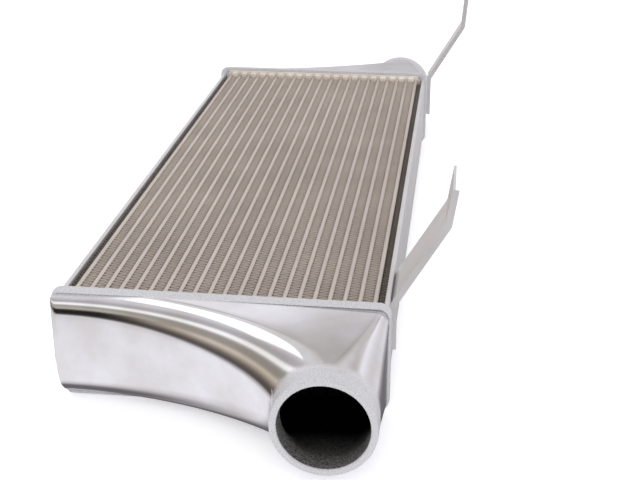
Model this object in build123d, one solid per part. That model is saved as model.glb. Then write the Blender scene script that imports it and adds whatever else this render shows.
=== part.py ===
"""Tube-and-fin intercooler with two cast end tanks and two mounting straps. Millimetres, +Z up.

The cooler lies flat on the bottom lips of its tanks. X runs across the flat tubes, +X to the side of the hose
stubs, Y runs along the tubes, and Z = 0 is the surface it lies on. The origin is under the middle of its outline.
"""

from build123d import *

import os
from math import atan2, cos, sin

os.makedirs("parts", exist_ok=True)

# ---- core: flat tubes and folded fins --------------------------------------------------------------------------
tube_count = 21
tube_pitch = 10.5  # centre to centre of neighbouring tubes
tube_thickness = 3.1
tube_nose = 0.9  # bevel of the tube's narrow edges
tube_wall = 0.55
tube_port_count = 2
core_depth = 66.0  # the tubes' width, top face to bottom face of the core
header_distance = 587.6  # between the tank sides of the two headers
fin_setback = 0.6  # fin edges lie this far inside the tubes' noses
fin_sheet = 0.6
fin_fold_run = 15.0  # along the core from one fold to the next
fin_end_gap = 5.2  # from a fin row's last fold to the header
edge_fin_height = 5.0  # the narrower fin rows beside the side plates
edge_fin_setback = 3.0
brazing_gap = 0.05

# ---- side plates -----------------------------------------------------------------------------------------------
side_plate_thickness = 3.3
side_plate_bevel = 0.6

# ---- headers ---------------------------------------------------------------------------------------------------
header_thickness = 3.0
header_side_margin = 3.2  # from the outer tubes to the header's ends
header_margin = 4.5  # how far the header stands above and below the core
header_corner = 6.0
tube_end_stand = 2.0  # tube ends reach this far into the tank
rib_height = 4.5  # pressed ribs between the tube slots, on the core side
rib_width = 6.4
rib_bevel = 2.2
rib_overrun = 2.6  # how far the ribs run on above and below the core

# ---- cast end tanks --------------------------------------------------------------------------------------------
tank_wall = 4.8
lip_side_margin = 2.8  # how far the tank's lip stands out past the side plates
lip_margin = 7.5  # how far the lip stands above and below the core
lip_length = 7.0
lip_corner = 8.5
body_inset = 1.2  # from the lip's outline to the cast body
closed_end_depth = 14.5  # depth of the body at its closed end
closed_end_corner = 6.0
end_draft_width = 9.0  # the closed end curves in towards its bottom edge by this much
end_draft_height = 50.0
stub_radius = 34.1
stub_side_inset = 0.75  # the hose stub stands this far in from the lip's side
stub_collar_length = 13.0
stub_collar_step = 0.4  # the turned collar stands this proud of the neck, inside and out
tank_reach = 97.7  # header to stub mouth
stub_mouth_round = 1.2
sweep_level = 95.2  # handles of the front curve: along the closed end, and back from the stub
sweep_dip = 4.1
sweep_rise = 22.2
crown_depth = 12.0  # rounding of the front's top and bottom edges at the closed end
crown_height = 17.0
corner_station = 0.65  # share of the front curve that faces the header's far corner
side_wall_flat = 36.0  # depth over which the side wall stays flat, for a strap
section_straight = 0.25  # least straight run between two rounded corners of a tank section
lip_groove = 1.4  # bevel along the joint between lip and header
throat_clearance = 1.0  # from the tube ends to the throat of the tank
throat_corner = 2.0
seat_depth = 3.0  # thickness of the rim that the header is brazed to

# ---- mounting straps -------------------------------------------------------------------------------------------
strap_sheet = 1.8
strap_flange = 4.5  # height of the turned edge, the sheet included
strap_bend_radius = 5.0
strap_foot_length = 36.0
strap_bend_below = 6.0  # the strap bends away from the core this far below the core's top face
strap_leg_out = 35.5
strap_leg_up = 60.0
strap_tip_out = 3.8
near_strap_width = 50.0
near_strap_tip_up = 25.5
near_strap_from_header = 26.0
far_strap_width = 26.0
far_strap_tip_up = 48.0
far_strap_behind_lip = 2.0
far_strap_rise = 6.0  # the far strap bends this much higher and its foot is longer by as much
weld_gap = 0.6  # weld bead between the far strap and the wall of the tank

# ---- sizes that follow -----------------------------------------------------------------------------------------
fin_height = tube_pitch - tube_thickness
outer_tube_x = tube_pitch * (tube_count - 1) / 2
plate_inner_x = outer_tube_x + tube_thickness / 2 + edge_fin_height
core_half_width = plate_inner_x + side_plate_thickness
header_half_y = header_distance / 2
core_half_y = header_half_y - header_thickness
lip_half_width = core_half_width + lip_side_margin
lip_half_height = core_depth / 2 + lip_margin
middle_z = lip_half_height
body_half_width = lip_half_width - body_inset
body_half_height = lip_half_height - body_inset
stub_offset = lip_half_width - stub_side_inset - stub_radius
tank_taper_end = tank_reach - stub_collar_length
stub_bore_radius = stub_radius - tank_wall
neck_radius = stub_radius - stub_collar_step


def tube_outline(grow=0.0):
    """Flat tube section: a long rectangle with bevelled narrow edges."""
    outline = Rectangle(tube_thickness + 2 * grow, core_depth + 2 * grow)
    return chamfer(outline.vertices(), tube_nose)


def flat_tube(x):
    """One extruded tube with webs between its ports, long enough to stand into both tanks."""
    inner = core_depth - 2 * (tube_nose + tube_wall)
    port_pitch = (inner + tube_wall) / tube_port_count
    port = Rectangle(tube_thickness - 2 * tube_wall, port_pitch - tube_wall)
    section = tube_outline() - GridLocations(1, port_pitch, 1, tube_port_count) * port
    length = header_distance + 2 * tube_end_stand
    return Pos(x, length / 2, middle_z) * Rot(90, 0, 0) * extrude(section, length)


def fin_row(x, height, setback):
    """One folded strip: a zigzag sheet between two tubes, each fold brazed to a tube's face."""
    span = 2 * (core_half_y - fin_end_gap)
    folds = 2 * round(span / fin_fold_run / 2)
    run = span / folds
    reach = (height - fin_sheet) / 2 - brazing_gap
    lean = fin_sheet / 2 / cos(atan2(2 * reach, run))
    crest = [((-1) ** i * reach, -span / 2 + i * run) for i in range(folds + 1)]
    upper = [(a + lean, y) for a, y in crest]
    lower = [(a - lean, y) for a, y in reversed(crest)]
    sheet = make_face(Polyline(*upper, *lower, close=True))
    depth = core_depth - 2 * setback
    return Pos(x, 0, middle_z - depth / 2) * extrude(sheet, depth)


def header():
    """Header plate with its tank side at Y = 0: slots for the tubes and bevelled ribs between them."""
    width = 2 * (outer_tube_x + tube_thickness / 2 + header_side_margin)
    plate = RectangleRounded(width, core_depth + 2 * header_margin, header_corner)
    plate -= GridLocations(tube_pitch, 1, tube_count, 1) * tube_outline(brazing_gap)
    crest = Rectangle(rib_width, rib_height, align=(Align.CENTER, Align.MIN))
    crest = chamfer(crest.vertices().group_by(Axis.Y)[-1], rib_bevel)
    rib = Rot(90, 0, 0) * extrude(crest, core_depth / 2 + rib_overrun, both=True)
    rib = Pos(0, 0, header_thickness) * rib
    pan = extrude(plate, header_thickness)
    pan += GridLocations(tube_pitch, 1, tube_count - 1, 1) * rib
    return Pos(0, 0, middle_z) * Rot(90, 0, 0) * pan


def side_plate(side):
    """Flat bar that closes one side of the core from tank to tank, bevelled on its long edges."""
    bar = Box(side_plate_thickness, header_distance, core_depth)
    bar = chamfer(bar.edges().filter_by(Axis.Y), side_plate_bevel)
    return Pos(side * (core_half_width - side_plate_thickness / 2), 0, middle_z) * bar


def ease(t, start, end, power):
    """Value that runs from start to end as t runs from 0 to 1."""
    return start + (end - start) * t**power


def station_line(t, inset):
    """Front point and back point of a tank section in plan (x, depth), and its front curve's direction.

    The front curve runs from the closed end to the stub. The back point first runs along the header, turns the
    corner at corner_station and then runs out along the side wall.
    """
    neck_left = stub_offset - neck_radius
    front = Bezier(
        (-body_half_width, closed_end_depth),
        (-body_half_width + sweep_level, closed_end_depth - sweep_dip),
        (neck_left, tank_taper_end - sweep_rise),
        (neck_left, tank_taper_end),
    )
    place, along = front @ t, front % t
    side = body_half_width - inset
    front_point = Vector(max(place.X + inset * along.Y, -side), place.Y - inset * along.X)
    if t <= corner_station:
        return front_point, Vector(side * (2 * t / corner_station - 1), 0), along
    depth = tank_taper_end * (t - corner_station) / (1 - corner_station)
    narrowing = max(0, (depth - side_wall_flat) / (tank_taper_end - side_wall_flat))
    side -= narrowing * (body_half_width - stub_offset - neck_radius)
    return front_point, Vector(side, depth), along


def tank_section(t, inset):
    """Vertical section of a tank: a rectangle whose corners are quarter ellipses, round at the stub."""
    front_point, back_point, along = station_line(t, inset)
    reach = back_point - front_point
    slant = abs(sin(atan2(reach.Y, reach.X) - atan2(along.Y, along.X)))
    width = reach.length
    half = ease(t, body_half_height, neck_radius, 3) - inset
    if t <= corner_station:
        back = ease(t / corner_station, 1, lip_corner - body_inset, 2)
    else:
        out = (t - corner_station) / (1 - corner_station)
        back = ease(out, lip_corner - body_inset, neck_radius, 1)
    back = min(max(back - inset, 1), half - section_straight)
    crown = (ease(t, crown_depth, neck_radius, 2) - inset) / slant
    crown = min(crown, width - back - section_straight)
    crown_rise = min(ease(t, crown_height, neck_radius, 2) - inset, half - section_straight)
    outline = Curve() + [
        Line((crown, -half), (width - back, -half)),
        CenterArc((width - back, back - half), back, 270, 90),
        Line((width, back - half), (width, half - back)),
        CenterArc((width - back, half - back), back, 0, 90),
        Line((width - back, half), (crown, half)),
        EllipticalCenterArc((crown, half - crown_rise), crown, crown_rise, 90, arc_size=90),
        Line((0, half - crown_rise), (0, crown_rise - half)),
        EllipticalCenterArc((crown, crown_rise - half), crown, crown_rise, 180, arc_size=90),
    ]
    plan = Vector(reach.X, reach.Y)
    plane = Plane(front_point, x_dir=plan, z_dir=plan.cross(Vector(0, 0, 1)))
    return plane * make_face(outline)


def tank_form(inset):
    """Swept body of a tank, or its hollow when inset by the wall: closed end to corner, corner to stub."""
    closed_side = [tank_section(corner_station * k / 3, inset) for k in range(4)]
    rest = 1 - corner_station
    stub_side = [tank_section(corner_station + rest * k / 3, inset) for k in range(4)]
    return loft(closed_side) + loft(stub_side) - end_draft(inset + body_inset, 2 * closed_end_depth)


def corner_outline(width, height):
    """What a rounded corner of that size leaves out, for a shape to the right of and below the origin."""
    return Rectangle(2 * width, 2 * height) - Pos(width, -height) * Ellipse(width, height)


def corner_trim(radius, length):
    """Bar that rounds the corner of a solid lying to the right of and below the origin."""
    return extrude(corner_outline(radius, radius), length / 2, both=True)


def end_draft(inset, reach):
    """Cutter that makes the closed end curve in towards its bottom edge, inset from the lip's outline."""
    edge = Pos(inset - lip_half_width, 0, inset - lip_half_height) * Rot(-90, 0, 0)
    return edge * extrude(corner_outline(end_draft_width, end_draft_height), reach, both=True)


def tank():
    """One casting in the far tank's place: lip at Y = 0, body swept towards a round stub, hollow throughout.

    A narrower throat in the lip leaves the seat that the header is brazed to.
    """
    throat_width = 2 * (outer_tube_x + throat_clearance) + tube_thickness
    throat_height = core_depth + 2 * throat_clearance
    lip = Rectangle(2 * lip_half_width, 2 * lip_half_height)
    lip = fillet(lip.vertices().sort_by(lambda corner: corner.X - corner.Y)[1:], lip_corner)
    lip -= Pos(-lip_half_width, lip_half_height) * corner_outline(end_draft_width, end_draft_height)
    lip = extrude(lip, lip_length)
    lip = chamfer(lip.faces().sort_by(Axis.Z)[0].outer_wire().edges(), lip_groove)
    stub = Cylinder(stub_radius, stub_collar_length, align=(Align.CENTER, Align.CENTER, Align.MIN))
    bore = Cylinder(stub_bore_radius, 2 * stub_collar_length)
    body = tank_form(0)
    body -= Pos(-body_half_width, closed_end_depth, 0) * corner_trim(closed_end_corner, 2 * lip_half_height)
    edge = Pos(-body_half_width, 0, body_half_height) * Rot(90, 0, 0)
    body -= edge * corner_trim(lip_corner - body_inset, 4 * closed_end_depth)
    stand = Rot(-90, 0, 0)
    casting = body + stand * lip + Pos(stub_offset, tank_taper_end, 0) * stand * stub
    throat = RectangleRounded(throat_width, throat_height, throat_corner)
    seat = Plane((0, seat_depth, 0), z_dir=(0, 1, 0))
    hollow = split(tank_form(tank_wall), seat) + stand * extrude(throat, tank_wall, both=True)
    hollow += Pos(stub_offset, tank_reach, 0) * stand * bore
    casting -= hollow
    mouth = casting.faces().sort_by(Axis.Y)[-1]
    return Pos(0, 0, middle_z) * chamfer(mouth.edges(), stub_mouth_round)


def strap(width, tip_up, rise):
    """Bent angle strip: foot up a side wall at X = 0, leg outwards, tip up, its -Y edge turned outwards."""
    bend_z = middle_z + core_depth / 2 - strap_bend_below + rise
    back = FilletPolyline(
        (0, bend_z - rise - strap_foot_length),
        (0, bend_z),
        (strap_leg_out, bend_z + strap_leg_up),
        (strap_leg_out + strap_tip_out, bend_z + strap_leg_up + tip_up),
        radius=strap_bend_radius,
    )
    web = make_face(back.offset_2d(strap_sheet, side=Side.RIGHT))
    flange = make_face(back.offset_2d(strap_flange, side=Side.RIGHT))
    stand = Rot(90, 0, 0)
    edge = stand * extrude(flange, strap_sheet / 2, both=True)
    return stand * extrude(web, width / 2, both=True) + Pos(0, (strap_sheet - width) / 2, 0) * edge


def build():
    """Every piece by name, with the core's middle at X = 0."""
    pieces = {}
    for i in range(tube_count):
        pieces[f"tube_{i + 1:02d}"] = flat_tube(tube_pitch * i - outer_tube_x)
    for i in range(tube_count - 1):
        x = tube_pitch * (i + 0.5) - outer_tube_x
        pieces[f"fin_row_{i + 2:02d}"] = fin_row(x, fin_height, fin_setback)
    edge_x = plate_inner_x - edge_fin_height / 2
    pieces["fin_row_01"] = fin_row(-edge_x, edge_fin_height, edge_fin_setback)
    pieces[f"fin_row_{tube_count + 1:02d}"] = fin_row(edge_x, edge_fin_height, edge_fin_setback)
    pieces["side_plate_left"] = side_plate(-1)
    pieces["side_plate_right"] = side_plate(1)
    far_header = Pos(0, header_half_y, 0) * header()
    far_tank = Pos(0, header_half_y, 0) * tank()
    pieces["header_far"] = far_header
    pieces["header_near"] = mirror(far_header, Plane.XZ)
    pieces["tank_far"] = far_tank
    pieces["tank_near"] = mirror(far_tank, Plane.XZ)
    near_y = near_strap_from_header + near_strap_width / 2 - header_half_y
    near = strap(near_strap_width, near_strap_tip_up, 0)
    pieces["strap_near"] = Pos(core_half_width, near_y, 0) * near
    far_y = header_half_y + lip_length + far_strap_behind_lip + far_strap_width / 2
    far = strap(far_strap_width, far_strap_tip_up, far_strap_rise)
    pieces["strap_far"] = Pos(body_half_width + weld_gap, far_y, 0) * far
    return pieces


model = build()
outline_right = max(piece.bounding_box().max.X for piece in model.values())
centring = Pos((lip_half_width - outline_right) / 2, 0, 0)
for name, piece in model.items():
    piece = centring * piece
    piece.label = name
    export_step(piece, f"parts/{name}.step")
    print(name, round(piece.volume), "mm3")
print("core middle at X =", round((lip_half_width - outline_right) / 2, 3))
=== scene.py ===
# %% [markdown]
# # An intercooler in polished cast aluminium
#
# A charge-air cooler is a grille of flat tubes between two cast tanks. Hot air enters at one round stub,
# spreads through the tank into the tubes, and leaves by the other tank. Thin folded fins fill the gaps
# between the tubes.
#
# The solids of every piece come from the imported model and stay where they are. This file gives them their
# finish, and makes finer surfaces for the tanks and the fins.

# %% Load the fixed frame
import math

import bmesh
import bpy
import numpy as np
from mathutils import Matrix, Vector


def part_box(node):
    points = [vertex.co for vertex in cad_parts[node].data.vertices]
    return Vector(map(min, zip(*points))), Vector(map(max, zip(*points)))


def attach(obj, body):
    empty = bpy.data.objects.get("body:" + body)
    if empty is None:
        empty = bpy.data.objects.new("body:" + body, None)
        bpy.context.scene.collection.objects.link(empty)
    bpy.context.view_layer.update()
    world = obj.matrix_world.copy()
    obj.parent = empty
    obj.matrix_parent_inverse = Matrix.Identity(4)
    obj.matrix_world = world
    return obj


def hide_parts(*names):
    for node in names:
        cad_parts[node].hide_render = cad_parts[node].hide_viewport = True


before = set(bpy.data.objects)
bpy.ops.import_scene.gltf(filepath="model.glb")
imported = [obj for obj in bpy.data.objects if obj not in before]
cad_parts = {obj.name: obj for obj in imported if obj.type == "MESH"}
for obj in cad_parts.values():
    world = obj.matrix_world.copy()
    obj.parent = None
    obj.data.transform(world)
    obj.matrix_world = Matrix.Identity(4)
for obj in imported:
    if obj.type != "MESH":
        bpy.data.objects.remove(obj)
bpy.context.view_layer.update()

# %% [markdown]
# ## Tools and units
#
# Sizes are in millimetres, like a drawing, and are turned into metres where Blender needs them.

MM = 0.001

# %% [markdown]
# ## Sizes read from the solids
#
# Every new surface has to sit exactly where its solid is, so its sizes are measured from the frame. The
# frame's origin lies under the middle of the whole outline, and `core_x` is where the core's middle ends up.

# %% Measure the frame
tube_count = 21
fin_row_count = tube_count + 1


def box_mm(node):
    """Lowest and highest corner of a solid, in millimetres."""
    low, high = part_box(node)
    return np.array(low) / MM, np.array(high) / MM


tank_low, tank_high = box_mm("tank_far")
tube_low, tube_high = box_mm("tube_01")
last_tube_low = box_mm(f"tube_{tube_count}")[0]
core_x = (tank_low[0] + tank_high[0]) / 2
middle_z = (tank_low[2] + tank_high[2]) / 2
header_y = tank_low[1]
tube_thickness = tube_high[0] - tube_low[0]
tube_pitch = (last_tube_low[0] - tube_low[0]) / (tube_count - 1)
core_depth = tube_high[2] - tube_low[2]
print(f"tube pitch {tube_pitch:.2f} mm, core depth {core_depth:.1f} mm, headers at {header_y:.1f} mm")

# %% [markdown]
# ## Helpers for meshes
#
# A surface is a grid of points worked out by numpy. One helper turns points and faces into an object that
# rides with the part, one numbers the faces of a grid, and one turns the faces outwards.

# %% Mesh helpers


def new_piece(name, points, faces, replaces, smooth=True):
    """Mesh object from points in millimetres and lists of faces; it stands for the named solid."""
    mesh = bpy.data.meshes.new(name)
    mesh.from_pydata((np.asarray(points) * MM).tolist(), [], [list(face) for face in faces])
    mesh.polygons.foreach_set("use_smooth", np.full(len(mesh.polygons), smooth))
    mesh.update()
    piece = bpy.data.objects.new(name, mesh)
    bpy.context.scene.collection.objects.link(piece)
    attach(piece, "root")
    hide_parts(replaces)
    return piece


def grid_faces(rows, columns, start=0, close_rows=False, close_columns=False):
    """Quads of a grid of rows x columns points, numbered from start, wrapped round where it closes."""
    i = np.arange(rows if close_rows else rows - 1)
    j = np.arange(columns if close_columns else columns - 1)
    i, j = [a.ravel() for a in np.meshgrid(i, j, indexing="ij")]
    i_next, j_next = (i + 1) % rows, (j + 1) % columns
    quads = (i * columns + j, i * columns + j_next, i_next * columns + j_next, i_next * columns + j)
    return np.stack(quads, axis=1) + start


def face_outwards(piece):
    """Recalculates the normals of closed shells, so that every face points away from the metal."""
    shell = bmesh.new()
    shell.from_mesh(piece.data)
    bmesh.ops.recalc_face_normals(shell, faces=shell.faces)
    shell.to_mesh(piece.data)
    shell.free()

# %% [markdown]
# ## Camera
#
# The camera stands a little to the right of the near tank and looks down along the core. Its place and angles
# are real measures: about a metre off, and 23 degrees down.

# %% Camera
camera_place = Vector((core_x + 156.8, -1009.0, middle_z + 388.8)) * MM
camera_turn = math.radians(-7.01)  # to the left of the tubes' direction
camera_dip = math.radians(22.98)
focal_length = 66.9  # for a frame 36 mm wide

ahead = Vector((
    math.cos(camera_dip) * math.sin(camera_turn),
    math.cos(camera_dip) * math.cos(camera_turn),
    -math.sin(camera_dip),
))
right = ahead.cross(Vector((0, 0, 1))).normalized()
up = right.cross(ahead)
camera_data = bpy.data.cameras.new("camera")
camera_data.lens = focal_length
camera_data.sensor_width = 36
camera_data.dof.use_dof = False
camera = bpy.data.objects.new("camera", camera_data)
camera.matrix_world = Matrix.Translation(camera_place) @ Matrix((right, up, -ahead)).transposed().to_4x4()
bpy.context.scene.collection.objects.link(camera)
bpy.context.scene.camera = camera
print("camera", round(camera_place.length, 2), "m from the origin")

# %% [markdown]
# ## Colours and shader nodes
#
# Colours are written as the hex values that a paint shop or a browser uses. Shaders want linear light, so one
# function does that change. A few small functions add the shader nodes that are used again and again.

# %% Colour and node helpers


def linear(hex_colour, alpha=1.0):
    """sRGB hex to linear light: below 0.04045 divide by 12.92, above it the 2.4 power curve."""
    srgb = np.array([int(hex_colour[k:k + 2], 16) for k in (1, 3, 5)]) / 255
    light = np.where(srgb <= 0.04045, srgb / 12.92, ((srgb + 0.055) / 1.055) ** 2.4)
    return (*light.tolist(), alpha)


def add_node(tree, kind, inputs=None, **settings):
    """Shader node with its settings. An input takes a socket to link, a hex colour or a plain value."""
    node = tree.nodes.new(kind)
    for key, setting in settings.items():
        setattr(node, key, setting)
    for key, given in (inputs or {}).items():
        if isinstance(given, bpy.types.NodeSocket):
            tree.links.new(given, node.inputs[key])
        else:
            node.inputs[key].default_value = linear(given) if isinstance(given, str) else given
    return node


def maths(tree, operation, *inputs):
    """Result of one maths operation on sockets and numbers."""
    return add_node(tree, "ShaderNodeMath", dict(enumerate(inputs)), operation=operation).outputs["Value"]


def between(tree, value, start, end, low=0.0, high=1.0, smooth=False):
    """Goes from low to high while the value goes from start to end, and stays level outside them."""
    inputs = {"Value": value, "From Min": start, "From Max": end, "To Min": low, "To Max": high}
    way = "SMOOTHSTEP" if smooth else "LINEAR"
    return add_node(tree, "ShaderNodeMapRange", inputs, interpolation_type=way).outputs["Result"]


def blend(tree, share, here, there, way="MIX"):
    """Colour that turns from here to there with the share; each colour is a socket or a hex value."""
    inputs = {0: share, 6: here, 7: there}
    return add_node(tree, "ShaderNodeMix", inputs, data_type="RGBA", blend_type=way).outputs[2]


def colour_ramp(tree, value, stops):
    """Colour by value: stops are (position, hex colour), with straight blends between them."""
    ramp = add_node(tree, "ShaderNodeValToRGB", {"Fac": value})
    elements = ramp.color_ramp.elements
    while len(elements) > 1:
        elements.remove(elements[-1])
    (elements[0].position, first_colour), *others = stops
    elements[0].color = linear(first_colour)
    for position, colour in others:
        elements.new(position).color = linear(colour)
    return ramp.outputs["Color"]


def noise(tree, place, size, detail=4.0):
    """Soft noise with blobs about the given size across, in millimetres."""
    inputs = {"Vector": place, "Scale": 1 / (size * MM), "Detail": detail}
    return add_node(tree, "ShaderNodeTexNoise", inputs).outputs["Fac"]


def new_material(name):
    """Empty node material with its output; returns the material, its tree and the output node."""
    material = bpy.data.materials.new(name)
    material.use_nodes = True
    material.node_tree.nodes.clear()
    output = add_node(material.node_tree, "ShaderNodeOutputMaterial")
    return material, material.node_tree, output


# %% [markdown]
# ## The room that the metal mirrors
#
# Polished metal has hardly any colour of its own: it shows the room. Its rays meet a white sheet below, a
# dark gap past the sheet's edge, a warm wall, a strip of light and a grey ceiling. On the far side of the
# cooler stands white card. Every other ray meets one even white, which lights the whole scene softly.
#
# The room could be built from boxes and lamps. Bands of colour by height do the same work in one shader, and
# they stay put when the view turns.

# %% World
bpy.context.scene.view_settings.view_transform = "Standard"
world = bpy.data.worlds.new("studio")
world.use_nodes = True
world.cycles.sampling_method = "NONE"
bpy.context.scene.world = world
tree = world.node_tree
tree.nodes.clear()

paint = {
    "floor": "#6A676B",
    "card foot": "#7A787C",
    "sheet": "#EEEDF3",
    "sheet edge": "#C8C7CB",
    "black gap": "#242223",
    "brown gap": "#585352",
    "wall foot": "#80746A",
    "wall": "#B8B4A6",
    "lit wall": "#D0C6BA",
    "wall top": "#A6A29E",
    "shaded wall": "#9A948C",
    "lamp": "#FFFFFF",
    "grey": "#B2AFB3",
    "warm grey": "#C2BFBE",
    "pale grey": "#D5D3D7",
    "card": "#DDDCE0",
}
even_light = 1.07


def by_height(tree, elevation, bands):
    """Colour by height above the horizon: bands are (degrees, paint), from -90 to 90 degrees."""
    return colour_ramp(tree, elevation, [(degrees / 180 + 0.5, paint[name]) for degrees, name in bands])


def by_heading(tree, level, heading, start, end, here, there):
    """Colour here turns into there as a ray's level direction times a heading goes from start to end."""
    inputs = {0: level, 1: heading}
    along = add_node(tree, "ShaderNodeVectorMath", inputs, operation="DOT_PRODUCT").outputs["Value"]
    return blend(tree, between(tree, along, start, end, smooth=True), here, there)


ray_direction = add_node(tree, "ShaderNodeTexCoord").outputs["Generated"]
axes = add_node(tree, "ShaderNodeSeparateXYZ", {"Vector": ray_direction}).outputs
elevation = between(tree, maths(tree, "ARCSINE", axes["Z"]), -math.pi / 2, math.pi / 2)
level = add_node(tree, "ShaderNodeCombineXYZ", {"X": axes["X"], "Y": axes["Y"]}).outputs["Vector"]
level = add_node(tree, "ShaderNodeVectorMath", {0: level}, operation="NORMALIZE").outputs["Vector"]

sheet_bands = [(-90, "floor"), (-66, "floor"), (-52, "pale grey"), (-40, "sheet"), (-27, "sheet")]
front_wall = by_height(tree, elevation, sheet_bands + [
    (-23, "sheet edge"), (-20, "brown gap"), (-15, "black gap"), (-3, "black gap"), (1, "brown gap"),
    (5, "wall"), (8, "wall"), (14, "wall top"), (19, "wall top"), (24, "lamp"), (29, "lamp"), (36, "grey"),
    (42, "grey"), (72, "pale grey"),
])
left_wall = by_height(tree, elevation, sheet_bands + [
    (-24, "grey"), (-21, "brown gap"), (-16, "brown gap"), (-11, "wall foot"), (-1, "lit wall"),
    (6, "shaded wall"), (15, "shaded wall"), (19, "grey"), (23, "lamp"), (28, "lamp"), (33, "grey"),
    (40, "grey"), (50, "pale grey"),
])
far_card = by_height(tree, elevation, [
    (-90, "floor"), (-40, "floor"), (-25, "card foot"), (-17, "grey"), (-12, "card"), (-4, "card"),
    (6, "pale grey"), (16, "card"), (24, "sheet"), (29, "sheet"), (32, "pale grey"), (36, "warm grey"),
    (40, "warm grey"), (46, "card"), (80, "pale grey"),
])
# The far card is a little duller in a narrow strip straight behind the cooler, where its two sheets meet.
sideways = between(tree, axes["X"], -1.0, 1.0)
card_joint = colour_ramp(tree, sideways, [(0.43, "#FFFFFF"), (0.5, "#E2E1E1"), (0.58, "#FFFFFF")])
far_card = blend(tree, 1.0, far_card, card_joint, way="MULTIPLY")

towards_left, towards_far = (-1.0, 0.0, 0.0), (0.5, 0.87, 0.0)
walls = by_heading(tree, level, towards_left, start=0.45, end=0.85, here=front_wall, there=left_wall)
room = by_heading(tree, level, towards_far, start=-0.1, end=0.5, here=walls, there=far_card)
mirrored = add_node(tree, "ShaderNodeBackground", {"Color": room})
even = add_node(tree, "ShaderNodeBackground", {"Color": "#FCFCFF", "Strength": even_light})
glossy_ray = add_node(tree, "ShaderNodeLightPath").outputs["Is Glossy Ray"]
surroundings = add_node(tree, "ShaderNodeMixShader", {
    0: glossy_ray, 1: even.outputs["Background"], 2: mirrored.outputs["Background"],
})
add_node(tree, "ShaderNodeOutputWorld", {"Surface": surroundings.outputs["Shader"]})
print("world nodes", len(tree.nodes))

# %% [markdown]
# ## Table and light
#
# The cooler lies on a white table that glows a little, like a light box, so only a soft shadow stays close
# to the metal. The table is hidden from mirror rays, because the room above already has its white sheet.

# %% Table top
table_half = 4000.0
table_glow = 0.3
table_material, tree, output = new_material("white_table")
paper = add_node(tree, "ShaderNodeBsdfDiffuse", {"Color": "#FDFDFF"})
glow = add_node(tree, "ShaderNodeEmission", {"Color": "#FFFFFF", "Strength": table_glow})
lit_paper = add_node(tree, "ShaderNodeAddShader", {0: paper.outputs["BSDF"], 1: glow.outputs["Emission"]})
tree.links.new(lit_paper.outputs["Shader"], output.inputs["Surface"])

table_corners = np.array([(-1, -1, 0), (1, -1, 0), (1, 1, 0), (-1, 1, 0)]) * table_half
table_mesh = bpy.data.meshes.new("table_top")
table_mesh.from_pydata((table_corners * MM).tolist(), [], [(0, 1, 2, 3)])
table_mesh.materials.append(table_material)
table = bpy.data.objects.new("table_top", table_mesh)
bpy.context.scene.collection.objects.link(table)
table.visible_glossy = False
print("table", 2 * table_half, "mm wide")

# %% [markdown]
# One softbox hangs high on the left: a rectangle of light, turned by a matrix so that its face looks at the
# near tank. It makes the long white sweep there.

# %% Softbox


def soft_light(name, place, size, power, aim):
    """Rectangular area light at a place in millimetres, aimed at a point on the cooler."""
    data = bpy.data.lights.new(name, "AREA")
    data.shape = "RECTANGLE"
    data.size, data.size_y = size[0] * MM, size[1] * MM
    data.energy = power
    light = bpy.data.objects.new(name, data)
    place, aim = Vector(place) * MM, Vector(aim) * MM
    turn = (aim - place).to_track_quat("-Z", "Y").to_matrix().to_4x4()
    light.matrix_world = Matrix.Translation(place) @ turn
    bpy.context.scene.collection.objects.link(light)
    return light


softbox = soft_light("left_softbox", place=(-847, -22, 1522), size=(1100, 500), power=1.1, aim=(0, -330, 80))
print(softbox.name, round(softbox.location.length, 2), "m away")

# %% [markdown]
# ## The cast end tanks
#
# Each tank is one aluminium casting. It starts as a flat box end, sweeps forward along a curved front, and
# closes in to a round neck with a turned collar for the hose. A designer would loft it through a fan of
# upright sections. Here the same fan is a formula: every section is a rectangle with four rounded corners,
# and its width, height and corner sizes all run smoothly from the box end to the round neck.

# %% Sizes of the casting
tank_wall = 4.8
lip_length = 7.0
lip_corner = 8.5
body_inset = 1.2  # from the lip's outline in to the body's
closed_end_depth = 14.5
closed_end_corner = 6.0
end_draft_width = 9.0
end_draft_height = 50.0
stub_offset = 82.8
stub_radius = 34.1
collar_length = 13.0
collar_step = 0.4
collar_bevel = 0.1
mouth_round = 1.2
sweep_level = 95.2  # how far the front's curve first runs along the header
sweep_dip = 4.1
sweep_rise = 22.2
crown_depth = 12.0  # size of the rounded top edge, from front to back
crown_height = 15.0
corner_station = 0.65  # where the fan's back point turns from the header to the side wall
side_wall_flat = 36.0
least_flat = 0.25
lip_groove = 1.4
hidden_edge = 0.6  # the body's open edge ends this far inside the lip
throat_half_width = 107.55
throat_half_height = 34.0
throat_corner = 2.0
seat_depth = 3.0

lip_half_width = (tank_high[0] - tank_low[0]) / 2
lip_half_height = (tank_high[2] - tank_low[2]) / 2
tank_reach = tank_high[1] - tank_low[1]
body_half_width = lip_half_width - body_inset
body_half_height = lip_half_height - body_inset
neck_radius = stub_radius - collar_step
bore_radius = stub_radius - tank_wall
neck_end = tank_reach - collar_length
print(f"tank {2 * lip_half_width:.1f} x {tank_reach:.1f} x {2 * lip_half_height:.1f} mm")

# %% [markdown]
# A section is a loop of samples. How much of each size goes into a sample never changes along the tank, so
# it is worked out once, as a small matrix.

# %% Section around the body
corner_samples = 14
flat_samples = 9


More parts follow.
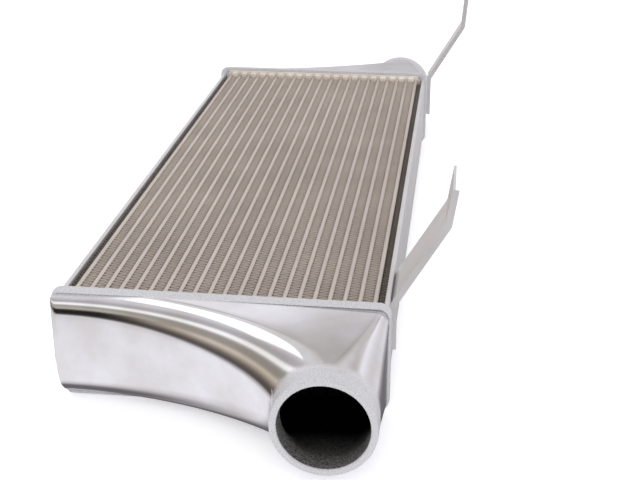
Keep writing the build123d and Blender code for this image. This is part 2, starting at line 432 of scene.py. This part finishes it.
def loop_mix():
    """How each sample round a section mixes the section's sizes.

    Across: a * width + b * back corner + c * crown depth. Up: d * half height + e * back corner + f * crown
    height. A corner sample at angle q is the corner's centre plus its radius times (cos q, sin q).
    """
    q = np.radians(np.linspace(0, 90, corner_samples))
    zero, one = np.zeros_like(q), np.ones_like(q)
    low_back = np.stack([one, np.sin(q) - 1, zero, -one, 1 - np.cos(q), zero])
    high_back = np.stack([one, np.cos(q) - 1, zero, one, np.sin(q) - 1, zero])
    high_crown = np.stack([zero, zero, 1 - np.sin(q), one, zero, np.cos(q) - 1])
    low_crown = np.stack([zero, zero, 1 - np.cos(q), -one, zero, 1 - np.sin(q)])
    corners = [low_back, high_back, high_crown, low_crown]
    loop = []
    for here, after in zip(corners, corners[1:] + corners[:1]):
        share = np.linspace(0, 1, flat_samples + 2)[1:-1]
        loop += [here, here[:, -1:] + (after[:, :1] - here[:, -1:]) * share]
    return np.hstack(loop)


mix = loop_mix()
back_first = corner_samples - 1
back_last = corner_samples + flat_samples
print("samples round a section:", mix.shape[1])

# %% [markdown]
# The body is a fan of those sections. Its front follows a Bezier curve in plan, from the box end to the neck.
# Its back first slides along the header and then along the side wall. The same function, moved inwards by the
# wall's thickness, makes the hollow.

# %% Body surface


def rise(t, start, end, power):
    """Runs from start to end as t runs from 0 to 1, as t to a power."""
    return start + (end - start) * t**power


def draft_end(points, half_width, half_height):
    """Keeps points right of a quarter ellipse: x over -half width + w (1 - sqrt(1 - lack^2)).

    Lack is how far a point is below the ellipse's top, as a share of the ellipse's height.
    """
    lack = np.clip(1 - (points[..., 2] + half_height) / end_draft_height, 0, 1)
    edge = end_draft_width * (1 - np.sqrt(1 - lack**2)) - half_width
    points[..., 0] = np.maximum(points[..., 0], edge)
    return points


def tank_body(t, inset):
    """Points of the body, one row for each station t, moved inwards by inset.

    The front point of a section follows a cubic Bezier curve in plan; the back point first follows the
    header line, then the side wall. The section stands upright between them. Near the closed end every point
    is kept under two quarter circles, which round the end's upright and top edges, and inside its draft.
    """
    neck_left = stub_offset - neck_radius
    handles = np.array([
        (-body_half_width, closed_end_depth),
        (-body_half_width + sweep_level, closed_end_depth - sweep_dip),
        (neck_left, neck_end - sweep_rise),
        (neck_left, neck_end),
    ])
    s = t[:, None]
    front = np.hstack([(1 - s) ** 3, 3 * s * (1 - s) ** 2, 3 * s**2 * (1 - s), s**3]) @ handles
    along = np.hstack([(1 - s) ** 2, 2 * s * (1 - s), s**2]) @ np.diff(handles, axis=0)
    along /= np.linalg.norm(along, axis=1, keepdims=True)
    side = body_half_width - inset
    front = front + inset * np.stack([along[:, 1], -along[:, 0]], axis=1)
    front[:, 0] = np.maximum(front[:, 0], -side)
    out = np.clip((t - corner_station) / (1 - corner_station), 0, 1)
    depth = np.maximum(neck_end * out, hidden_edge)
    narrowing = np.clip((depth - side_wall_flat) / (neck_end - side_wall_flat), 0, 1)
    along_header = np.minimum(2 * t / corner_station - 1, 1)
    wall_x = side * along_header - narrowing * (body_half_width - stub_offset - neck_radius)
    back = np.stack([wall_x, depth], axis=1)

    reach = back - front
    width = np.linalg.norm(reach, axis=1)
    reach = reach / width[:, None]
    slant = np.abs(reach[:, 0] * along[:, 1] - reach[:, 1] * along[:, 0])
    half = rise(t, body_half_height, neck_radius, 3) - inset
    early = rise(np.clip(t / corner_station, 0, 1), 1, lip_corner - body_inset, 2)
    late = rise(out, lip_corner - body_inset, neck_radius, 1)
    corner = np.where(t <= corner_station, early, late)
    corner = np.minimum(np.maximum(corner - inset, 1), half - least_flat)
    crown = np.minimum((rise(t, crown_depth, neck_radius, 2) - inset) / slant, width - corner - least_flat)
    smooth_t = t * t * (3 - 2 * t)
    crown_rise = np.minimum(rise(smooth_t, crown_height, neck_radius, 1) - inset, half - least_flat)

    sizes = np.stack([width, corner, crown, half, corner, crown_rise], axis=1)
    across = sizes[:, :3] @ mix[:3]
    upwards = sizes[:, 3:] @ mix[3:]
    points = np.empty((*across.shape, 3))
    points[..., :2] = front[:, None] + reach[:, None] * across[..., None]
    points[..., 2] = upwards
    from_end = points[..., 0] + side
    for axis, edge, radius in (
        (1, closed_end_depth - inset, max(closed_end_corner - inset, 1)),
        (2, body_half_height - inset, max(lip_corner - body_inset - inset, 1)),
    ):
        shortfall = np.clip(radius - from_end, 0, radius)
        limit = edge - radius + np.sqrt(radius**2 - shortfall**2)
        limit = np.where(shortfall > 0, limit, np.inf)
        points[..., axis] = np.minimum(points[..., axis], limit)
    return draft_end(points, side, body_half_height - inset)


# %% [markdown]
# The collar is a set of rings on the stub's axis, a grid that joins the body's grid without a seam. The lip
# is a short profile carried round a rounded rectangle, a closed grid of its own.

# %% Collar and lip
outline_corner_samples = 12
outline_side_samples = 16


def ring(pattern, radius, depth):
    """Circle of the neck: the pattern's points moved to one radius from the stub's axis and one depth."""
    across = pattern[:, [0, 2]] - (stub_offset, 0)
    across = across / np.linalg.norm(across, axis=1, keepdims=True) * radius
    return np.stack([across[:, 0] + stub_offset, np.full(len(across), depth), across[:, 1]], axis=1)


def rounded_outline(half_width, half_height, corner, depth):
    """Rounded rectangle at one depth: four quarter circles joined by evenly sampled straight sides."""
    arcs = []
    for quarter, way in enumerate(((1, 1), (-1, 1), (-1, -1), (1, -1))):
        q = np.radians(np.linspace(0, 90, outline_corner_samples) + 90 * quarter)
        centre = np.array(way) * (half_width - corner, half_height - corner)
        arcs.append(centre + corner * np.stack([np.cos(q), np.sin(q)], axis=1))
    share = np.linspace(0, 1, outline_side_samples + 2)[1:-1, None]
    loop = []
    for here, after in zip(arcs, arcs[1:] + arcs[:1]):
        loop += [here, here[-1] + (after[0] - here[-1]) * share]
    return np.insert(np.vstack(loop), 1, depth, axis=1)


def lip_ring():
    """Lip of the tank: a short profile of (outwards, depth) carried along its outline, with a throat."""
    profile = [(-lip_groove, 0.0), (-0.4, 0.5), (0.0, lip_groove), (0.0, 2.2), (-0.08, 3.2), (-0.28, 4.4)]
    profile += [(-0.58, 5.8), (-0.95, 7.4), (-1.4, 9.2)]
    rows = []
    for out, depth in profile:
        half_width, half_height = lip_half_width + out, lip_half_height + out
        outline = rounded_outline(half_width, half_height, lip_corner + out, depth)
        rows.append(draft_end(outline, half_width, half_height))
    for depth in (seat_depth, 0.0):
        rows.append(rounded_outline(throat_half_width, throat_half_height, throat_corner, depth))
    return np.array(rows)


# %% [markdown]
# The whole casting is the skin, the collar, the mouth and the hollow as one long grid. Its open back is
# closed by a rim, its two ends by caps, and the lip covers the rim. The near tank is the far one mirrored.

# %% Whole casting
sweep_stations = 61
wall_stations = 40
station_crowding = 1.6  # puts more stations near the closed end, where the shape turns fastest
mouth_samples = 6
sharp_above = 35  # degrees between two faces

stations = np.concatenate([
    corner_station * np.linspace(0, 1, sweep_stations) ** station_crowding,
    corner_station + (1 - corner_station) * np.linspace(0, 1, wall_stations)[1:],
])


def back_loop(row_numbers, columns):
    """Point numbers round the open back of the body, from the closed end to the corner and back again."""
    across = np.arange(back_first, back_last + 1)
    return np.concatenate([
        row_numbers[:-1] * columns + back_first,
        row_numbers[-1] * columns + across[:-1],
        row_numbers[:0:-1] * columns + back_last,
        row_numbers[0] * columns + across[:0:-1],
    ])


def end_caps(first, columns):
    """Faces that close a section: its back side and front side are joined rung by rung, like a ladder."""
    side = 2 * corner_samples + flat_samples
    back = np.arange(side)
    front = np.arange(columns - flat_samples - 1, columns - flat_samples - 1 - side, -1)
    rungs = np.stack([back[:-1], back[1:], front[1:], front[:-1]], axis=1).tolist()
    rungs[0] += list(range(columns - flat_samples, columns))
    rungs[-1][2:2] = list(range(side, side + flat_samples))
    return [[first + k for k in rung] for rung in rungs]


def tank_mesh():
    """Points and faces of one casting in the far tank's place: skin, collar, mouth, bore, hollow and lip."""
    skin = tank_body(stations, 0.0)
    hollow = tank_body(stations, tank_wall)[::-1]
    neck = skin[-1]
    turn = np.radians(np.linspace(0, 90, mouth_samples))
    by_sine, by_cosine = mouth_round * (1 - np.sin(turn)), mouth_round * (1 - np.cos(turn))
    steps = [(neck_radius, neck_end), (stub_radius - collar_bevel, neck_end)]
    steps += [(stub_radius, neck_end + collar_bevel)]
    steps += zip(stub_radius - by_cosine, tank_reach - by_sine)
    steps += zip(bore_radius + by_sine, tank_reach - by_cosine)
    collar = np.array([ring(neck, radius, depth) for radius, depth in steps])
    rows = np.concatenate([skin, collar, hollow])
    columns = mix.shape[1]
    last = len(rows) - 1
    faces = grid_faces(len(rows), columns, close_columns=True)
    column, row = faces[:, 0] % columns, faces[:, 0] // columns
    corner = int(np.argmin(np.abs(stations - corner_station)))
    behind = (column >= back_first) & (column < back_last)
    open_back = behind & ((row < corner) | (row >= last - corner))
    skin_loop = back_loop(np.arange(corner + 1), columns)
    hollow_loop = back_loop(last - np.arange(corner + 1), columns)
    rim = np.stack([skin_loop, np.roll(skin_loop, -1), np.roll(hollow_loop, -1), hollow_loop], axis=1)
    lip = lip_ring()
    lip_faces = grid_faces(*lip.shape[:2], start=rows.size // 3, close_rows=True, close_columns=True)
    points = np.concatenate([rows.reshape(-1, 3), lip.reshape(-1, 3)])
    inside = row >= len(skin) + len(collar) - 2
    solid_faces = faces[~open_back & ~inside].tolist() + lip_faces.tolist() + end_caps(0, columns)
    hollow_faces = faces[~open_back & inside].tolist() + rim.tolist() + end_caps(last * columns, columns)
    return points, solid_faces + hollow_faces, len(solid_faces)


tank_points, tank_faces, outer_count = tank_mesh()
tanks = {}
for end, way in (("near", -1), ("far", 1)):
    placed = tank_points * (1, way, 1) + (core_x, way * header_y, middle_z)
    tank = new_piece(f"{end}_tank_casting", placed, tank_faces, f"tank_{end}")
    face_outwards(tank)
    tank.data.set_sharp_from_angle(angle=math.radians(sharp_above))
    shade = tank.modifiers.new("even_shading", "WEIGHTED_NORMAL")
    shade.keep_sharp = True
    tanks[end] = tank
    print(tank.name, len(tank.data.polygons), "faces")

# %% [markdown]
# ## Folded fins
#
# A fin row is one strip of thin sheet, folded to and fro between two tubes like a paper fan. Air blows down
# through it. The real fold repeats every 4.4 mm. The strip is a wave carried along the core and pulled down
# through its depth.

# %% Fin rows
fin_period = 4.36
fin_sheet = 0.22
samples_per_fold = 12
fold_sharpness = 0.95  # 1 makes straight legs and sharp folds, 0 a plain sine wave
fin_gap = 0.02


def fin_strip(height, length, depth):
    """Sheet folded in a wave along y: across it, the arcsine of a sine wave, stretched to the tubes' gap.

    The sharpness times a sine, under the arcsine, gives straight legs with small round folds.
    """
    folds = round(length / fin_period)
    s = np.linspace(0, folds, folds * samples_per_fold + 1)
    y = s * length / folds - length / 2
    reach = (height - fin_sheet) / 2 - fin_gap
    x = reach * np.arcsin(fold_sharpness * np.sin(2 * np.pi * s)) / np.arcsin(fold_sharpness)
    tangent = np.stack([np.gradient(x), np.gradient(y)], axis=1)
    tangent /= np.linalg.norm(tangent, axis=1, keepdims=True)
    normal = np.stack([tangent[:, 1], -tangent[:, 0]], axis=1) * fin_sheet / 2
    middle = np.stack([x, y], axis=1)
    corners = [(normal, depth / 2), (-normal, depth / 2), (-normal, -depth / 2), (normal, -depth / 2)]
    rows = np.stack([np.insert(middle + side, 2, z, axis=1) for side, z in corners], axis=1)
    faces = grid_faces(len(rows), 4, close_columns=True).tolist()
    return rows.reshape(-1, 3), faces + [[0, 1, 2, 3], [k + 4 * (len(rows) - 1) for k in (3, 2, 1, 0)]]


fins = []
for number in range(1, fin_row_count + 1):
    node = f"fin_row_{number:02d}"
    low, high = box_mm(node)
    size, place = high - low, (low + high) / 2
    between_tubes = 1 < number < fin_row_count
    height = tube_pitch - tube_thickness if between_tubes else size[0] + 2 * fin_gap
    points, faces = fin_strip(height, size[1], size[2])
    fin = new_piece(f"folded_fin_{number:02d}", points + place, faces, node, smooth=False)
    face_outwards(fin)
    fins.append(fin)
print("fins", sum(len(fin.data.polygons) for fin in fins), "faces")

# %% [markdown]
# ## Bare metal finishes
#
# Everything here is aluminium, and each piece shows how it was made. A noise of the right size in millimetres
# gives the grain, and a larger one gives cloudy patches. Deep places get painted shade: their colour turns
# darker there, since little light reaches them.

# %% Metal shader
noise_low, noise_high = 0.3, 0.7  # the noise hardly ever goes past these
gloss_spread = 1.25


def finish_surface(tree, output, tone, roughness, metallic, grain, grain_depth):
    """Metal shader with the grain as bump, its depth in metres. Each value may be a socket or a number."""
    bump = add_node(tree, "ShaderNodeBump", {"Height": grain, "Distance": grain_depth})
    shader = add_node(tree, "ShaderNodeBsdfPrincipled", {
        "Base Color": tone, "Roughness": roughness, "Metallic": metallic, "Normal": bump.outputs["Normal"],
    })
    tree.links.new(shader.outputs["BSDF"], output.inputs["Surface"])


def distance(tree, coordinate, middle):
    """How far a coordinate is from a middle in millimetres, to either side; the result is in metres."""
    return maths(tree, "ABSOLUTE", maths(tree, "SUBTRACT", coordinate, middle * MM))


def metal(name, tint, darker, roughness, metallic, grain_size, grain_depth, cloud_size, painted_shade=None):
    """Bare aluminium with a cloudy tint, and a fine grain in its gloss and as bump. Sizes are in millimetres.

    The last argument, (colour, axis, middle, start, end), paints shade: the tint turns to that colour where
    the distance from the middle along the axis goes from end back to start.
    """
    material, tree, output = new_material(name)
    place = add_node(tree, "ShaderNodeTexCoord").outputs["Object"]
    grain = noise(tree, place, grain_size)
    tone = colour_ramp(tree, noise(tree, place, cloud_size), [(noise_low, darker), (noise_high, tint)])
    if painted_shade:
        # Painted shade: the tint turns darker with depth below a surface.
        shade_colour, axis, middle, start, end = painted_shade
        coordinate = add_node(tree, "ShaderNodeSeparateXYZ", {"Vector": place}).outputs[axis]
        unshaded_share = between(tree, distance(tree, coordinate, middle), start * MM, end * MM)
        tone = blend(tree, unshaded_share, shade_colour, tone)
    gloss = between(tree, grain, noise_low, noise_high, roughness / gloss_spread, roughness * gloss_spread)
    finish_surface(tree, output, tone, gloss, metallic, grain, grain_depth * MM)
    return material


# %% [markdown]
# ### The casting's finish
#
# The body is ground and polished by hand until it mirrors the room. The lip keeps its grainy weld band, the
# collar is only turned on a lathe, and a dark line of painted shade runs round the header's joint, in its
# groove.

# %% Casting finish
weld_band = lip_length + 1.5  # satin from the header to this depth
weld_fade = 3.0
collar_fade = 9.0  # the polish fades out over this length before the collar
cloud_size, cast_grain = 34.0, 0.9
polish_low, polish_high = 0.35, 0.65
groove_shade_width, groove_shade_fade = 1.6, 0.5
polished_gloss, satin_gloss = 0.1, 0.4
polished_grain, satin_grain = 0.004, 0.3  # depth of the grain
satin_metallic = 0.25


def casting():
    """Cast aluminium that is satin near the header and on the collar, and mirror bright in between."""
    material, tree, output = new_material("polished_cast_aluminium")
    place = add_node(tree, "ShaderNodeTexCoord").outputs["Object"]
    axes = add_node(tree, "ShaderNodeSeparateXYZ", {"Vector": place}).outputs
    along = distance(tree, axes["Y"], 0.0)
    lip_edge, collar_edge = header_y + weld_band, header_y + neck_end
    on_lip = between(tree, along, (lip_edge + weld_fade) * MM, lip_edge * MM, smooth=True)
    on_collar = between(tree, along, (collar_edge - collar_fade) * MM, collar_edge * MM, smooth=True)
    satin = maths(tree, "MAXIMUM", on_lip, on_collar)

    cloud = noise(tree, place, cloud_size)
    grain = noise(tree, place, cast_grain, detail=5.0)
    polished = colour_ramp(tree, cloud, [(polish_low, "#EBE8E6"), (polish_high, "#FAF9FB")])
    speckled = colour_ramp(tree, grain, [(polish_low, "#C3C2C4"), (polish_high, "#E0DFE1")])
    tone = blend(tree, satin, polished, speckled)

    past_side = maths(tree, "SUBTRACT", distance(tree, axes["X"], core_x), throat_half_width * MM)
    past_top = maths(tree, "SUBTRACT", distance(tree, axes["Z"], middle_z), throat_half_height * MM)
    past_face = maths(tree, "SUBTRACT", along, header_y * MM)
    from_joint = maths(tree, "MAXIMUM", maths(tree, "MAXIMUM", past_side, past_top), past_face)
    # Painted shade: a dark band round the header's joint stands for the shade in the groove between lip and
    # header.
    joint_shade = between(tree, from_joint, (groove_shade_width + groove_shade_fade) * MM, groove_shade_width * MM)
    tone = blend(tree, joint_shade, tone, "#3A2F28")

    finish_surface(
        tree, output, tone,
        roughness=between(tree, satin, 0.0, 1.0, polished_gloss, satin_gloss),
        metallic=between(tree, satin, 0.0, 1.0, 1.0, satin_metallic),
        grain=grain,
        grain_depth=between(tree, satin, 0.0, 1.0, polished_grain * MM, satin_grain * MM),
    )
    return material


polished_casting = casting()
print(polished_casting.name)

# %% [markdown]
# ### The other finishes
#
# Each is named for how the piece is made. Light hardly reaches the depth of the core, the stub and the
# tank, so those places get painted shade that darkens with depth, which a few bounces of light alone would
# not do.

# %% Other finishes


def shade_below(colour, axis, middle, surface, full, gone):
    """Painted shade for metal(): darker under a surface, full at one depth and gone at a smaller one."""
    return colour, axis, middle, surface - full, surface - gone


# Painted shade in the core: the fins darken below the core's open faces.
core_shade = shade_below("#50483F", "Z", middle_z, core_depth / 2, full=4.5, gone=0.3)
# Painted shade in the stub: the inside darkens deeper in.
stub_shade = shade_below("#141312", "Y", 0.0, header_y + tank_reach, full=47.0, gone=2.0)
# The tubes' ends and the header's tank side lie at the tank's mouth; all that is past it gets painted shade.
tank_shade = shade_below("#24201D", "Y", 0.0, header_y, full=0.1, gone=0.6)

# Sand-cast skin inside the tank: left as it came from the mould, so it glitters in coarse dark and light.
# Deeper in the stub its colour is painted darker, as shade.
cast_inside = metal(
    "as_cast_inside", "#D6D3D0", "#3A3835", roughness=0.45, metallic=0.6,
    grain_size=1.0, grain_depth=0.5, cloud_size=1.1, painted_shade=stub_shade,
)
# Rolled fin sheet, dulled by the brazing oven; it looks like fine cloth from a step away. Down in the core
# its colour is painted darker and browner, as shade between the folds.
mill_fin = metal(
    "folded_fin_aluminium", "#F0E4D8", "#E0D4C8", roughness=0.45, metallic=0.2,
    grain_size=2.0, grain_depth=0.01, cloud_size=60.0, painted_shade=core_shade,
)
# Extruded tubes with a soft sheen along their narrow edges, which draw the pale stripes.
# Where they reach into the tank, the tubes get painted shade.
drawn_tube = metal(
    "extruded_tube_aluminium", "#F0E6DC", "#E6DCD2", roughness=0.42, metallic=1.0,
    grain_size=0.6, grain_depth=0.03, cloud_size=50.0, painted_shade=tank_shade,
)
# Pressed header plate, coated with braze metal that froze as a bright, slightly lumpy film.
# Inside the tank the header gets painted shade.
brazed_header = metal(
    "brazed_header_aluminium", "#FFF9F0", "#F4ECE2", roughness=0.34, metallic=0.4,
    grain_size=0.8, grain_depth=0.05, cloud_size=30.0, painted_shade=tank_shade,
)
# Cut sheet for the side plates and straps, brushed and pale.
brushed_sheet = metal(
    "brushed_sheet_aluminium", "#E8E6E5", "#DCDAD9", roughness=0.4, metallic=0.6,
    grain_size=1.0, grain_depth=0.02, cloud_size=30.0,
)
print(len(bpy.data.materials), "materials")

# %% [markdown]
# ## Dress the pieces
#
# The castings carry two finishes: polished outside, as cast inside. The other solids keep their own mesh and
# take the finish of their kind.

# %% Dress


def dress(piece, material):
    """Gives a piece one material in every slot."""
    piece.data.materials.clear()
    piece.data.materials.append(material)


for tank in tanks.values():
    dress(tank, polished_casting)
    tank.data.materials.append(cast_inside)
    hollow = (np.arange(len(tank.data.polygons)) >= outer_count).astype(np.int32)
    tank.data.polygons.foreach_set("material_index", hollow)
for fin in fins:
    dress(fin, mill_fin)
finishes = {"tube": drawn_tube, "header": brazed_header, "side": brushed_sheet, "strap": brushed_sheet}
for name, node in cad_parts.items():
    kind = name.split("_")[0]
    if kind in finishes:
        dress(node, finishes[kind])
